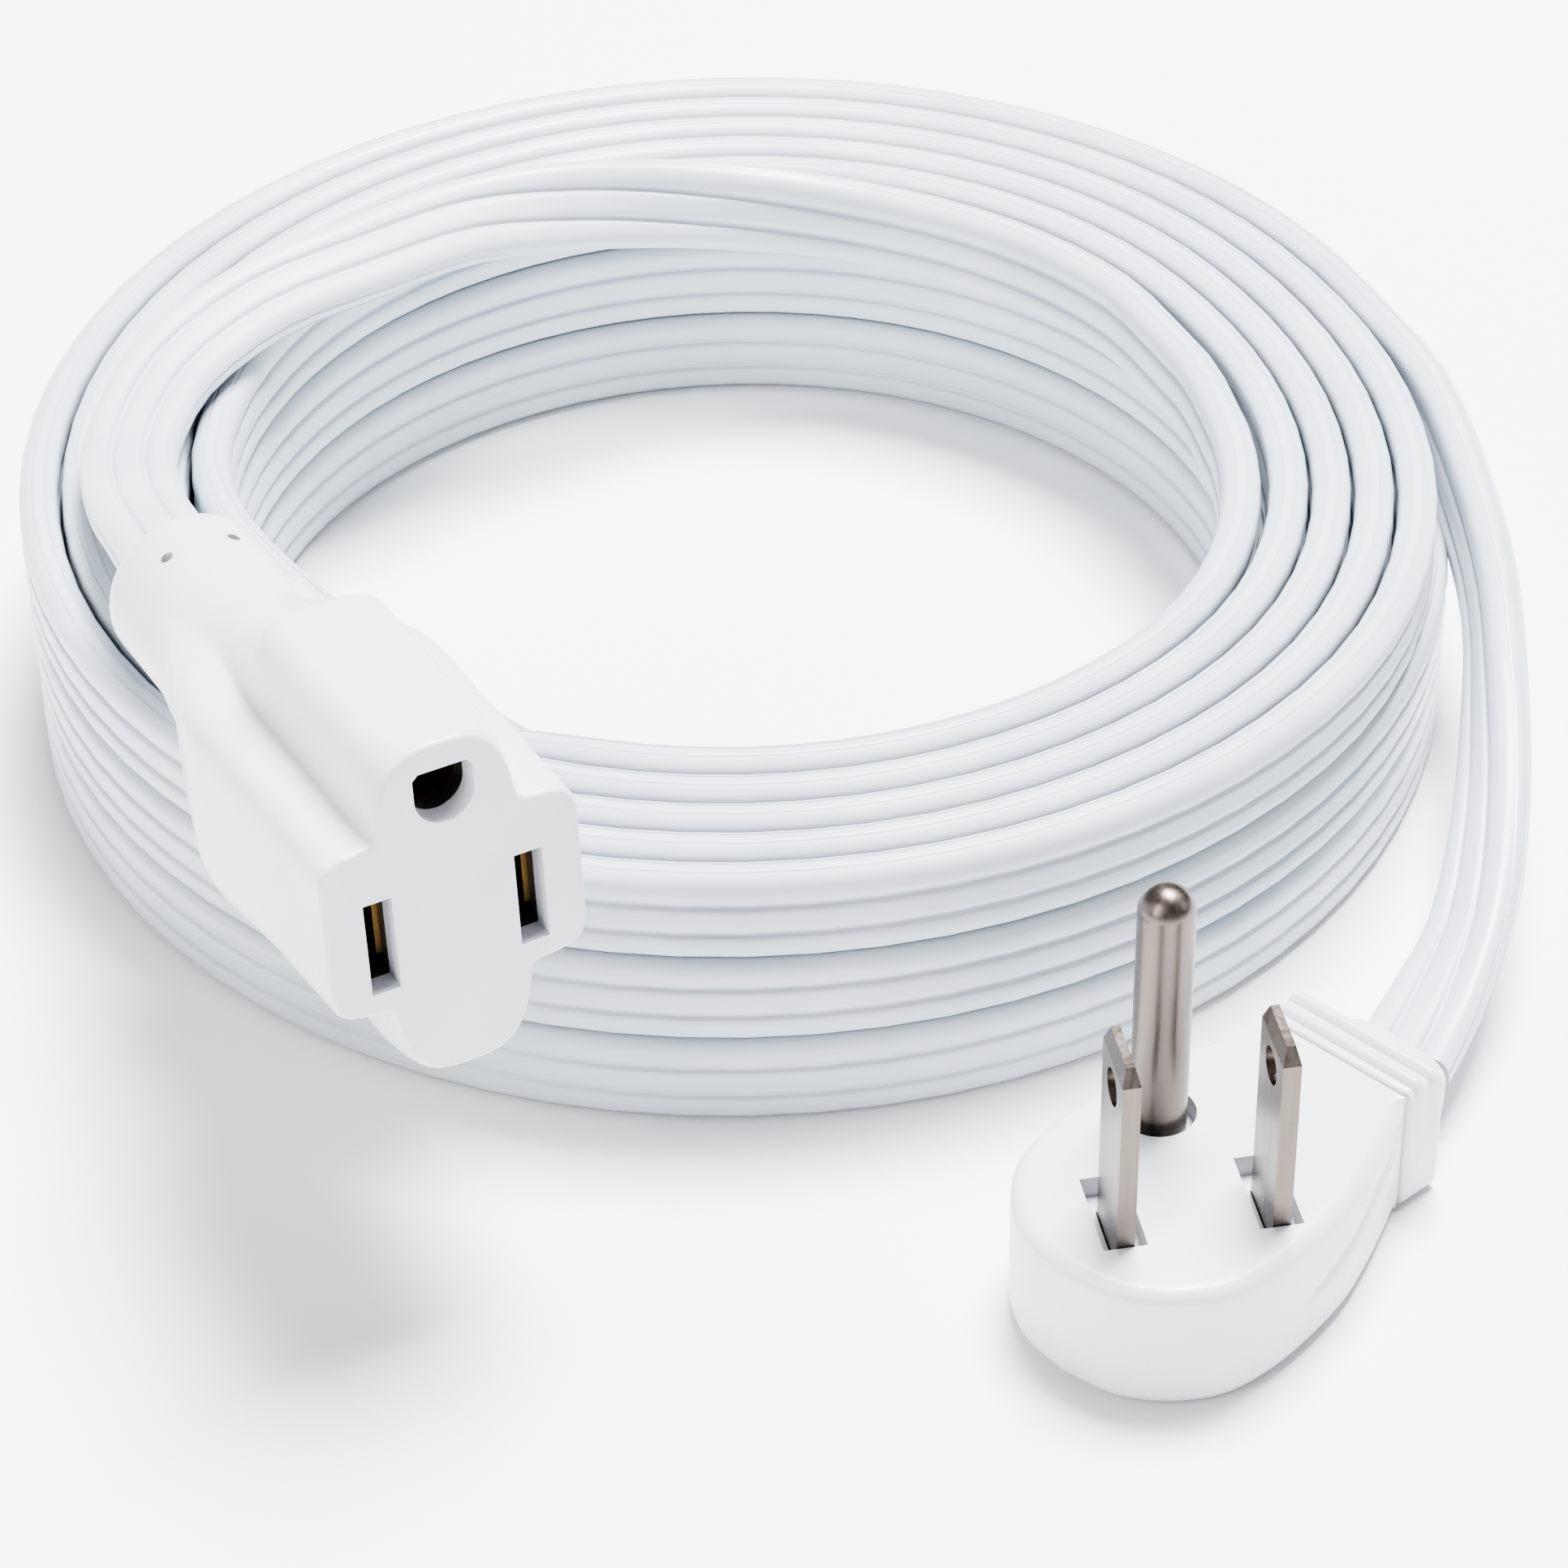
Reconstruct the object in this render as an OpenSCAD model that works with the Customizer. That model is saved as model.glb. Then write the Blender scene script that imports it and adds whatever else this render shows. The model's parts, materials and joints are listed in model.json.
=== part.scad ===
// Flat extension cord lying coiled: a grounded outlet connector on one end, a flat plug on the other.
// The origin is on the floor, midway between the plug and the connector, with +Z up.

/* [Cord] */
// Width of the flat cord
cord_w = 8.8; // [8:0.1:10.5]
// Thickness of the flat cord
cord_t = 3.6; // [3:0.1:4.2]
// Outside radius of the coil
coil_r = 66; // [60:0.1:70]
// Turns side by side in each layer of the coil
coil_turns = 5; // [3:1:6]
// Layers of the coil, one on another
coil_layers = 3; // [2:1:4]
// Gap between two turns side by side
turn_gap = 0.3; // [0.1:0.05:0.5]
// Gap between two layers
layer_gap = 0.05; // [0.05:0.05:0.3]
// Coil centre, left or right of the origin
coil_x = -2.7; // [-10:0.1:10]
// Coil centre, behind the origin
coil_y = 68; // [60:0.1:90]

/* [Prong pattern] */
// Distance between the two blades or slots, centre to centre
blade_spacing = 12.7; // [12.5:0.1:12.9]
// Distance from the line through the blades to the ground pin
ground_offset = 11.9; // [11.7:0.1:12.1]

/* [Plug] */
// Plug position, left or right
plug_x = 30.4; // [20:0.1:50]
// Plug position, in front of or behind the origin
plug_y = -20.6; // [-40:0.1:0]
// Direction in which the cord leaves the plug
plug_turn = 45; // [30:0.5:60]
// Height of the plug body
plug_h = 12.5; // [11:0.1:15]
// Radius of the round end of the plug body
plug_r = 12.4; // [12.2:0.1:14.5]
// Stretch of the plug's round end towards the cord
plug_stretch = 4.5; // [0:0.1:6]
// Direction of the line through the blades, from the cord line
prong_turn = -35.5; // [-60:0.5:0]
// Place of the blades' centre along the cord line, from the middle of the round end
prong_x = -0.3; // [-1:0.1:1]
// Place of the blades' centre across the cord line
prong_y = -3.2; // [-4:0.1:0]
// Rounding of the plug's rims
plug_round = 1.8; // [0.5:0.1:2.5]
// Distance from the middle of the round end to the strain relief
plug_reach = 21.6; // [20:0.1:28]
// Width of the plug body where it meets the strain relief
plug_end_w = 14.4; // [12:0.1:16]

/* [Plug strain relief] */
// Width of the ribbed strain relief
relief_w = 15.6; // [14:0.1:17]
// Length of the ribbed strain relief
relief_len = 4.6; // [4:0.1:8]
// Height of each raised rib
rib_h = 0.6; // [0.2:0.1:1]
// Length of the rounded neck behind the strain relief
neck_len = 4.4; // [2:0.1:6]

/* [Prongs] */
// Width of a blade
blade_w = 6.35; // [6.2:0.05:6.5]
// Thickness of a blade
blade_t = 1.52; // [1.4:0.02:1.6]
// Length of a blade above the plug's face
blade_len = 18.2; // [15:0.1:18.4]
// Diameter of the hole near a blade's tip
blade_hole = 3.2; // [2.8:0.1:3.6]
// Diameter of the ground pin
pin_d = 4.75; // [4.7:0.05:4.9]
// Length of the ground pin above the plug's face
pin_len = 23.4; // [20:0.1:24]
// Depth of the recesses around the prongs
recess_depth = 2; // [1:0.1:3]

/* [Connector] */
// Connector position, left or right
connector_x = -24.7; // [-40:0.1:0]
// Connector position, in front of or behind the origin
connector_y = -18.2; // [-30:0.1:0]
// Height of the slots above the floor
connector_z = 39.7; // [38:0.1:48]
// Direction that the connector faces, turned from straight ahead
connector_turn = 27.3; // [15:0.1:40]
// Downward tilt of the connector towards its cord
connector_tilt = 4; // [0:0.5:8]
// Height of the middle of the face above the slots
face_mid = 1.5; // [1:0.1:2.5]
// Width of the connector's face
face_w = 21.8; // [20:0.1:25]
// Height of the connector's face across the side wings
wing_h = 15.4; // [14.5:0.1:18]
// Height of the connector's face across the middle bulges
face_h = 30.2; // [29:0.1:34]
// Width of the middle bulges
bulge_w = 12.4; // [10:0.1:14]
// Height of the body across the side wings where they end
wing_rear_h = 18.4; // [15:0.1:20]
// Drop of the side wings at their rear end
wing_drop = 1.8; // [0:0.1:3]
// Length of the side wings
front_len = 25; // [20:0.5:30]
// Length from the face to the strain relief barrel
body_len = 40; // [36:0.5:46]
// Length of the strain relief barrel
barrel_len = 14; // [10:0.5:18]
// Diameter of the strain relief barrel
barrel_d = 14.4; // [13:0.1:16]
// Width of a blade slot
slot_w = 2.4; // [2.2:0.1:2.8]
// Height of a blade slot
slot_h = 8.4; // [7.5:0.1:9]
// Diameter of the round part of the ground hole
ground_hole_d = 5; // [4.95:0.05:5.4]

/* [Contacts and wires] */
// Thickness of the contact strip
strip_t = 0.6; // [0.4:0.05:0.8]
// Depth of the contacts behind the face
contact_depth = 20; // [18:0.5:23]
// Diameter of an insulated wire end
wire_d = 3; // [2.6:0.1:3.1]
// Diameter of the bare copper strands
strand_d = 1.6; // [1.2:0.1:1.8]
// Clearance between fitted pieces
fit_gap = 0.1; // [0.05:0.05:0.2]

/* [Hidden] */
$fn = 48;
hull_fn = 32;

// Coil
turn_pitch = cord_t + turn_gap;
coil_inner_r = coil_r - (coil_turns - 1) * turn_pitch - cord_t;
coil_h = coil_layers * cord_w + (coil_layers - 1) * layer_gap;

// Free ends of the cord: points from the connector to the coil and from the coil to the plug, each with
// the lean of the cord's width, 0 lying flat and 90 standing on edge
connector_route = [
    [-53, 39.8, 35.4, 0], [-56.2, 51, 31.5, 0], [-57.9, 63, 28.8, 2],
    [-55.3, 75.5, 29.3, 13], [-47.9, 86.3, 29.8, 19], [-38.1, 94.6, 29.4, 25], [-28.6, 102.2, 28.6, 34],
    [-18.5, 106.8, 27.3, 54], [-7.5, 110.9, 24.8, 72], [5.2, 111.7, 22.8, 86], [17.3, 107.9, 22.1, 90],
    [26.8, 101.4, 22.1, 90], [34.3, 93.1, 22.1, 90], [39.1, 83, 22.1, 90]
];
plug_route = [
    [62.4, 77, 21.8, 88], [64.4, 64, 20.2, 83], [65.3, 51, 17.8, 79], [64.3, 38.5, 14.6, 67],
    [62.9, 28.5, 11.4, 55], [60, 17, 8.2, 38], [55.5, 7.4, 6.4, 12]
];

// Prongs, in the plug's frame: the cord leaves along +X and the face looks along +Z
half_spacing = blade_spacing / 2;
across = [cos(prong_turn), sin(prong_turn)];
prong_centre = [prong_x, prong_y];
line_at = prong_centre + half_spacing * across;
neutral_at = prong_centre - half_spacing * across;
ground_at = prong_centre + ground_offset * [-across[1], across[0]];
recess_z = plug_h - recess_depth;
pin_shank_d = pin_d - 0.4;
recess_w = 3.6;
recess_back = 2;
web_t = 1.2;
web_z = recess_z - web_t;
bridge_t = 2.4;
bridge_z = web_z - fit_gap - bridge_t;
prong_wire_z = 4;
plug_wall = 1.4;
cavity_floor = 1.6;
relief_start = plug_reach + fit_gap;
neck_start = relief_start + relief_len;
plug_end = neck_start + neck_len;
plug_cord_z = 6;
neck_w = cord_w + 1.6;
neck_h = cord_t + 4;

// The three conductors lie side by side in the flat cord
conductor_pitch = 2.95;
conductor_d = wire_d - 0.4;
conductor_y = [-conductor_pitch, 0, conductor_pitch];
crimp_t = 0.4;
crimp_len = 5;
crimp_bore_d = strand_d + 2 * fit_gap;
crimp_r = crimp_bore_d / 2 + crimp_t;

// Connector, in its own frame: the face looks along -Y and the slots lie on z = 0
ridge_mid = 22;
ridge_end = 31;
ridge_mid_h = face_h - 1.2;
ridge_end_h = 25;
connector_end = body_len + barrel_len;
carrier_start = 2.2;
carrier_end = contact_depth + 1;
contact_start = 3.4;
leaf_h = 6;
ground_crimp_z = ground_offset - 4.2;
carrier_w = 17.6;
carrier_h = 10.4;
tower_w = 8;
tower_top = 15.5;
crimp_space = 8;
crimp_space_h = 13;
wire_space_h = 5;
wire_lead = 0.8;

module at_plug() {
    translate([plug_x, plug_y, 0]) rotate([0, 0, plug_turn]) children();
}

module at_blade(place) {
    translate([place[0], place[1], 0]) rotate([0, 0, prong_turn]) children();
}

module at_connector() {
    translate([connector_x, connector_y, connector_z]) rotate([0, 0, connector_turn])
        rotate([-connector_tilt, 0, 0]) children();
}

function unit(v) = v / norm(v);
function place_of(point) = [point[0], point[1], point[2]];
function run_at(path, i) = unit(place_of(path[min(i + 1, len(path) - 1)]) - place_of(path[max(i - 1, 0)]));

// One closed skin through rings of points that lie one behind another
module ring_skin(rings) {
    count = len(rings);
    n = len(rings[0]);
    sides = [for (i = [0 : count - 2], j = [0 : n - 1])
        let (a = n * i + j, b = n * i + (j + 1) % n) each [[a, b, b + n], [a, b + n, a + n]]];
    first_end = [[for (j = [n - 1 : -1 : 0]) j]];
    last_end = [[for (j = [0 : n - 1]) n * (count - 1) + j]];
    polyhedron([for (ring = rings) each ring], concat(first_end, sides, last_end));
}

// A twelve-sided wire along a list of points, with its end faces square to the given run
module bent_wire(points, d, end_run) {
    last = len(points) - 1;
    ring_skin([for (i = [0 : last])
        let (run = i == 0 || i == last ? end_run : run_at(points, i),
             left = unit([-run[1], run[0], 0]), up = cross(run, left))
        [for (a = [0 : 30 : 330]) points[i] + d / 2 * (cos(a) * left + sin(a) * up)]]);
}

// One eight-sided ring of the flat cord, square to its run
function cord_ring(point, run) =
    let (left = unit([-run[1], run[0], 0]), up = cross(run, left), lean = point[3],
         wide = cos(lean) * left + sin(lean) * up, thin = cos(lean) * up - sin(lean) * left,
         w = cord_w / 2, t = cord_t / 2, edge = 1.1)
    [for (p = [[w, edge - t], [w, t - edge], [w - edge, t], [edge - w, t],
               [-w, t - edge], [-w, edge - t], [edge - w, -t], [w - edge, -t]])
        place_of(point) + p[0] * wide + p[1] * thin];

// The flat cord through the route's points, with its end faces square to the given runs
module flat_cord(route, first_run, last_run) {
    last = len(route) - 1;
    ring_skin([for (i = [0 : last])
        cord_ring(route[i], i == 0 ? first_run : i == last ? last_run : run_at(route, i))]);
}

// A disc with both rims rounded
module puck(r, h, round) {
    rotate_extrude($fn = hull_fn) {
        square([r - round, h]);
        translate([0, round]) square([r, h - 2 * round]);
        translate([r - round, round]) circle(round);
        translate([r - round, h - round]) circle(round);
    }
}

// A rectangle with round corners
module round_rect(w, h, r) {
    square([w - 2 * r, h], center = true);
    square([w, h - 2 * r], center = true);
    for (x = [-1, 1], y = [-1, 1]) translate([x * (w / 2 - r), y * (h / 2 - r)]) circle(r);
}

// A thin upright slab across the connector at y, for the body's blends
module slab(y, w, h, r) {
    thin = 0.2;
    translate([0, y + thin, face_mid]) rotate([90, 0, 0]) linear_extrude(thin)
        round_rect(w, h, r, $fn = hull_fn);
}

module connector_overmould() {
    color("white") at_connector() difference() {
        union() {
            hull() {
                slab(0, bulge_w, face_h, 5.8);
                slab(ridge_mid, bulge_w, ridge_mid_h, 5.4);
            }
            hull() {
                slab(ridge_mid, bulge_w, ridge_mid_h, 5.4);
                slab(ridge_end, bulge_w - 1, ridge_end_h, 4);
            }
            hull() {
                slab(ridge_end, bulge_w - 1, ridge_end_h, 4);
                slab(body_len, barrel_d - 1, barrel_d - 1, 6);
            }
            hull() {
                slab(0, face_w, wing_h, 2.4);
                translate([0, 0, -wing_drop]) slab(front_len, face_w + 0.6, wing_rear_h, 2.4);
            }
            hull() {
                translate([0, 0, -wing_drop]) slab(front_len, face_w + 0.6, wing_rear_h, 2.4);
                slab(body_len, barrel_d - 0.4, 10, 4);
            }
            translate([0, body_len - 3, face_mid]) rotate([-90, 0, 0])
                cylinder(d = barrel_d, h = barrel_len + 3);
        }
        for (x = [-half_spacing, half_spacing]) translate([x - slot_w / 2, -1, -slot_h / 2])
            cube([slot_w, carrier_start + 2, slot_h]);
        ground_hole(carrier_start + 1);
        carrier_block(fit_gap);
        wire_space();
        for (x = conductor_y) translate([x, body_len - 3, face_mid]) rotate([-90, 0, 0])
            cylinder(d = conductor_d + 2 * fit_gap, h = barrel_len + 4);
        for (side = [-1, 1]) translate([3 * side, connector_end - 5, face_mid + barrel_d / 2 - 2.2])
            cylinder(d = 0.9, h = 3);
    }
}

// The ground hole from the face inwards: round below, flat on the side away from the slots
module ground_hole(depth) {
    translate([0, -1, ground_offset]) {
        rotate([-90, 0, 0]) cylinder(d = ground_hole_d, h = depth + 1);
        translate([-ground_hole_d / 2, 0, 0]) cube([ground_hole_d, depth + 1, ground_hole_d / 2 - 0.1]);
    }
}

// The outside of the carrier, or the space for it
module carrier_block(grow) {
    deep = carrier_end - carrier_start + 2 * grow;
    translate([-carrier_w / 2 - grow, carrier_start - grow, -carrier_h / 2 - grow])
        cube([carrier_w + 2 * grow, deep, carrier_h + 2 * grow]);
    translate([-tower_w / 2 - grow, carrier_start - grow, 0])
        cube([tower_w + 2 * grow, deep, tower_top + grow]);
}

// The space behind the carrier for the crimps and the wires
module wire_space() {
    translate([-carrier_w / 2, carrier_end - 0.5, -wire_space_h / 2])
        cube([carrier_w, crimp_space, wire_space_h]);
    translate([-tower_w / 2, carrier_end - 0.5, -wire_space_h / 2])
        cube([tower_w, crimp_space, crimp_space_h]);
    translate([-cord_w / 2, carrier_end, face_mid - wire_space_h / 2])
        cube([cord_w, body_len - carrier_end - 1, wire_space_h]);
}

module contact_carrier() {
    pocket_w = blade_t + 2 * strip_t + 0.6;
    color("gainsboro") at_connector() difference() {
        carrier_block(0);
        for (x = [-half_spacing, half_spacing]) {
            translate([x - slot_w / 2, 0, -slot_h / 2]) cube([slot_w, carrier_end, slot_h]);
            translate([x - pocket_w / 2, contact_start - fit_gap, -leaf_h / 2 - fit_gap])
                cube([pocket_w, carrier_end, leaf_h + 2 * fit_gap]);
        }
        ground_hole(carrier_end + 1);
        translate([0, contact_start - fit_gap, ground_offset]) rotate([-90, 0, 0])
            cylinder(d = pin_d + 2 * strip_t + 0.6, h = carrier_end);
        translate([-1.6, contact_start - fit_gap, ground_crimp_z - 1.6]) cube([3.2, carrier_end, 3.6]);
    }
}

// A crimp barrel that opens along +Y
module contact_crimp(x, z) {
    translate([x, contact_depth, z]) rotate([-90, 0, 0]) difference() {
        cylinder(r = crimp_r, h = crimp_len);
        translate([0, 0, strip_t]) cylinder(d = crimp_bore_d, h = crimp_len);
    }
}

// A double-leaf contact that grips a blade from both sides
module blade_contact(x) {
    color("goldenrod") at_connector() {
        for (side = [-1, 1])
            translate([x + side * (blade_t + strip_t) / 2 - strip_t / 2, contact_start, -leaf_h / 2])
                cube([strip_t, contact_depth - contact_start, leaf_h]);
        translate([x - blade_t / 2 - strip_t, contact_depth - strip_t, -leaf_h / 2])
            cube([blade_t + 2 * strip_t, strip_t, leaf_h]);
        contact_crimp(x, 0);
    }
}

module connector_line_contact() {
    blade_contact(half_spacing);
}

module connector_neutral_contact() {
    blade_contact(-half_spacing);
}

// A split tube that grips the ground pin, with a tail to its crimp
module connector_ground_contact() {
    tube_len = 12;
    inner_r = pin_d / 2 + 0.02;
    color("goldenrod") at_connector() {
        translate([0, contact_start, ground_offset]) rotate([-90, 0, 0]) difference() {
            cylinder(r = inner_r + strip_t, h = tube_len);
            translate([0, 0, -1]) cylinder(r = inner_r, h = tube_len + 2);
            translate([-0.5, -pin_d, -1]) cube([1, pin_d, tube_len + 2]);
        }
        translate([-1, contact_start + tube_len - 3, ground_offset - inner_r - strip_t])
            cube([2, contact_depth - contact_start - tube_len + 3, strip_t - 0.1]);
        translate([-1, contact_depth - strip_t, ground_crimp_z])
            cube([2, strip_t, ground_offset - inner_r - 0.1 - ground_crimp_z]);
        contact_crimp(0, ground_crimp_z);
    }
}

// An insulated wire from its crimp to the end of the cord
module connector_wire(x, z, cord_x, tint) {
    color(tint) at_connector() bent_wire([
        [x, contact_depth + crimp_len + fit_gap, z],
        [x, contact_depth + crimp_len + wire_lead, z],
        [cord_x, body_len - 3, face_mid],
        [cord_x, connector_end, face_mid]
    ], conductor_d, [0, 1, 0]);
}

module connector_line_wire() {
    connector_wire(half_spacing, 0, conductor_y[2], "black");
}

module connector_neutral_wire() {
    connector_wire(-half_spacing, 0, conductor_y[0], "white");
}

module connector_ground_wire() {
    connector_wire(0, ground_crimp_z, conductor_y[1], "green");
}

// Bare strands in a crimp of the connector
module connector_strands(x, z) {
    color("peru") at_connector() translate([x, contact_depth + strip_t + fit_gap, z]) rotate([-90, 0, 0])
        cylinder(d = strand_d, h = crimp_len - strip_t);
}

module connector_line_strands() {
    connector_strands(half_spacing, 0);
}

module connector_neutral_strands() {
    connector_strands(-half_spacing, 0);
}

module connector_ground_strands() {
    connector_strands(0, ground_crimp_z);
}

module plug_overmould() {
    corner = 1.5;
    color("white") at_plug() difference() {
        hull() {
            puck(plug_r, plug_h, plug_round);
            translate([plug_stretch, 0, 0]) puck(plug_r - 0.1, plug_h, plug_round);
            for (side = [-1, 1]) translate([plug_reach - corner, side * (plug_end_w / 2 - corner), 0.2])
                cylinder(r = corner, h = plug_h - 0.6, $fn = hull_fn);
        }
        plug_cavity();
        for (place = [line_at, neutral_at]) at_blade(place) {
            translate([-recess_w / 2, -blade_w / 2 - fit_gap, recess_z])
                cube([recess_w, blade_w + recess_back, recess_depth + 1]);
            blade_slot(web_z - 1, web_t + 2);
        }
        translate([ground_at[0], ground_at[1], web_z - 1])
            cylinder(d = pin_shank_d + 2 * fit_gap, h = plug_h);
        translate([ground_at[0], ground_at[1], recess_z]) cylinder(d = pin_d + 1.6, h = plug_h);
    }
}

module blade_slot(z, h) {
    translate([-blade_t / 2 - fit_gap, -blade_w / 2 - fit_gap, z])
        cube([blade_t + 2 * fit_gap, blade_w + 2 * fit_gap, h]);
}

// The space inside the plug for the bridge, the crimps and the wires
module plug_cavity() {
    h = web_z - cavity_floor;
    translate([0, 0, cavity_floor]) cylinder(r = plug_r - plug_wall, h = h);
    translate([0, -plug_end_w / 2 + 2, cavity_floor]) cube([plug_reach - 4, plug_end_w - 4, h]);
    translate([plug_reach - 5, -cord_w / 2, plug_cord_z - conductor_d / 2 - 0.3])
        cube([6, cord_w, conductor_d + 0.6]);
}

module blade_bridge() {
    color("gainsboro") at_plug() difference() {
        translate([0, 0, bridge_z]) cylinder(r = plug_r - plug_wall - fit_gap, h = bridge_t);
        for (place = [line_at, neutral_at]) at_blade(place) blade_slot(bridge_z - 1, bridge_t + 2);
        translate([ground_at[0], ground_at[1], bridge_z - 1])
            cylinder(d = pin_shank_d + 2 * fit_gap, h = bridge_t + 2);
    }
}

// One blade with a chamfered tip, a hole, a tail through the bridge and a crimp for its wire
module blade(place) {
    tip = plug_h + blade_len;
    tail_z = bridge_z - 0.4;
    color("silver") at_plug() difference() {
        union() {
            at_blade(place) difference() {
                intersection() {
                    rotate([90, 0, 0]) linear_extrude(2 * blade_w, center = true)
                        tapered_tip(blade_t, tail_z, tip, 0.4, 1.6);
                    rotate([90, 0, 90]) linear_extrude(2 * blade_w, center = true)
                        tapered_tip(blade_w, tail_z, tip, 0.7, 1.6);
                }
                translate([0, 0, tip - 4]) rotate([0, 90, 0])
                    cylinder(d = blade_hole, h = 3 * blade_t, center = true);
            }
            translate([place[0] - 0.8, place[1] - 0.7, prong_wire_z])
                cube([1.6, 1.4, tail_z + 0.2 - prong_wire_z]);
            crimp_tube(place);
        }
        crimp_bore(place);
    }
}

// An upright bar's outline with both top corners cut
module tapered_tip(w, from, to, cut_w, cut_h) {
    polygon([[-w / 2, from], [w / 2, from], [w / 2, to - cut_h], [w / 2 - cut_w, to],
             [cut_w - w / 2, to], [-w / 2, to - cut_h]]);
}

module crimp_tube(place) {
    translate([place[0] - crimp_r, place[1], prong_wire_z]) rotate([0, 90, 0])
        cylinder(r = crimp_r, h = crimp_len + crimp_r);
}

module crimp_bore(place) {
    translate([place[0], place[1], prong_wire_z]) rotate([0, 90, 0])
        cylinder(d = crimp_bore_d, h = crimp_len + 1);
}

module line_blade() {
    blade(line_at);
}

module neutral_blade() {
    blade(neutral_at);
}

// A round pin with a ball tip, a tail under the bridge and a crimp for its wire
module ground_pin() {
    tip_z = plug_h + pin_len - pin_d / 2;
    tail_z = bridge_z - 0.4;
    color("silver") at_plug() difference() {
        union() {
            translate([ground_at[0], ground_at[1], tail_z]) cylinder(d = pin_shank_d, h = recess_z - tail_z);
            translate([ground_at[0], ground_at[1], recess_z]) cylinder(d = pin_d, h = tip_z - recess_z);
            translate([ground_at[0], ground_at[1], tip_z]) sphere(d = pin_d);
            translate([ground_at[0], ground_at[1], prong_wire_z])
                cylinder(d = 2, h = tail_z + 0.2 - prong_wire_z);
            crimp_tube(ground_at);
        }
        crimp_bore(ground_at);
    }
}

// A ribbed block that flares away from the plug, with a neck for the cord
module plug_strain_relief() {
    half_start = plug_end_w / 2;
    half_end = relief_w / 2;
    rib_w = 0.9;
    color("white") at_plug() difference() {
        union() {
            translate([relief_start, 0, 0.2]) linear_extrude(plug_h + 0.1) polygon([
                [0, -half_start], [relief_len, -half_end], [relief_len, half_end], [0, half_start]
            ]);
            for (x = [0.3, 0.8])
                translate([relief_start + x * relief_len - rib_w / 2, -half_start, plug_h - 0.7])
                cube([rib_w, plug_end_w, 0.6 + rib_h]);
            translate([neck_start - 1, 0, plug_cord_z]) rotate([0, 90, 0]) linear_extrude(neck_len + 1)
                round_rect(neck_h, neck_w, 3);
        }
        for (y = conductor_y) translate([relief_start - 1, y, plug_cord_z]) rotate([0, 90, 0])
            cylinder(d = conductor_d + 2 * fit_gap, h = plug_end);
    }
}

// An insulated wire from its crimp to the end of the cord
module plug_wire(place, y, tint) {
    start = place[0] + crimp_len + fit_gap;
    color(tint) at_plug() bent_wire([
        [start, place[1], prong_wire_z],
        [start + 1.4, place[1], prong_wire_z],
        [plug_reach - 4.2, y, plug_cord_z],
        [plug_end, y, plug_cord_z]
    ], conductor_d, [1, 0, 0]);
}

module plug_line_wire() {
    plug_wire(line_at, conductor_y[0], "black");
}

module plug_neutral_wire() {
    plug_wire(neutral_at, conductor_y[1], "white");
}

module plug_ground_wire() {
    plug_wire(ground_at, conductor_y[2], "green");
}

// Bare strands in a crimp of the plug
module plug_strands(place) {
    color("peru") at_plug() translate([place[0] + fit_gap, place[1], prong_wire_z]) rotate([0, 90, 0])
        cylinder(d = strand_d, h = crimp_len - fit_gap);
}

module plug_line_strands() {
    plug_strands(line_at);
}

module plug_neutral_strands() {
    plug_strands(neutral_at);
}

module plug_ground_strands() {
    plug_strands(ground_at);
}

// The outer shape of the whole coil
module cord_coil() {
    color("white") translate([coil_x, coil_y, 0]) rotate_extrude($fn = 96)
        translate([coil_inner_r, 0]) square([coil_r - coil_inner_r, coil_h]);
}

// From the middle of the connector's end face
module cord_to_connector() {
    reach = connector_end;
    back = [0, reach * cos(connector_tilt) + face_mid * sin(connector_tilt),
            face_mid * cos(connector_tilt) - reach * sin(connector_tilt)];
    start = [connector_x - back[1] * sin(connector_turn), connector_y + back[1] * cos(connector_turn),
             connector_z + back[2], 0];
    run = [-sin(connector_turn) * cos(connector_tilt), cos(connector_turn) * cos(connector_tilt),
           -sin(connector_tilt)];
    last = len(connector_route) - 1;
    color("white") flat_cord(concat([start], connector_route), run,
        unit(place_of(connector_route[last]) - place_of(connector_route[last - 1])));
}

// To the middle of the plug's neck
module cord_to_plug() {
    along = [cos(plug_turn), sin(plug_turn), 0];
    finish = [plug_x + plug_end * along[0], plug_y + plug_end * along[1], plug_cord_z, 0];
    color("white") flat_cord(concat(plug_route, [finish]),
        unit(place_of(plug_route[1]) - place_of(plug_route[0])), -along);
}

connector_overmould();
contact_carrier();
connector_line_contact();
connector_neutral_contact();
connector_ground_contact();
connector_line_wire();
connector_neutral_wire();
connector_ground_wire();
connector_line_strands();
connector_neutral_strands();
connector_ground_strands();
plug_overmould();
blade_bridge();
plug_strain_relief();
line_blade();
neutral_blade();
ground_pin();
plug_line_wire();
plug_neutral_wire();
plug_ground_wire();
plug_line_strands();
plug_neutral_strands();
plug_ground_strands();
cord_coil();
cord_to_connector();
cord_to_plug();
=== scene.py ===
import json
import math

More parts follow.
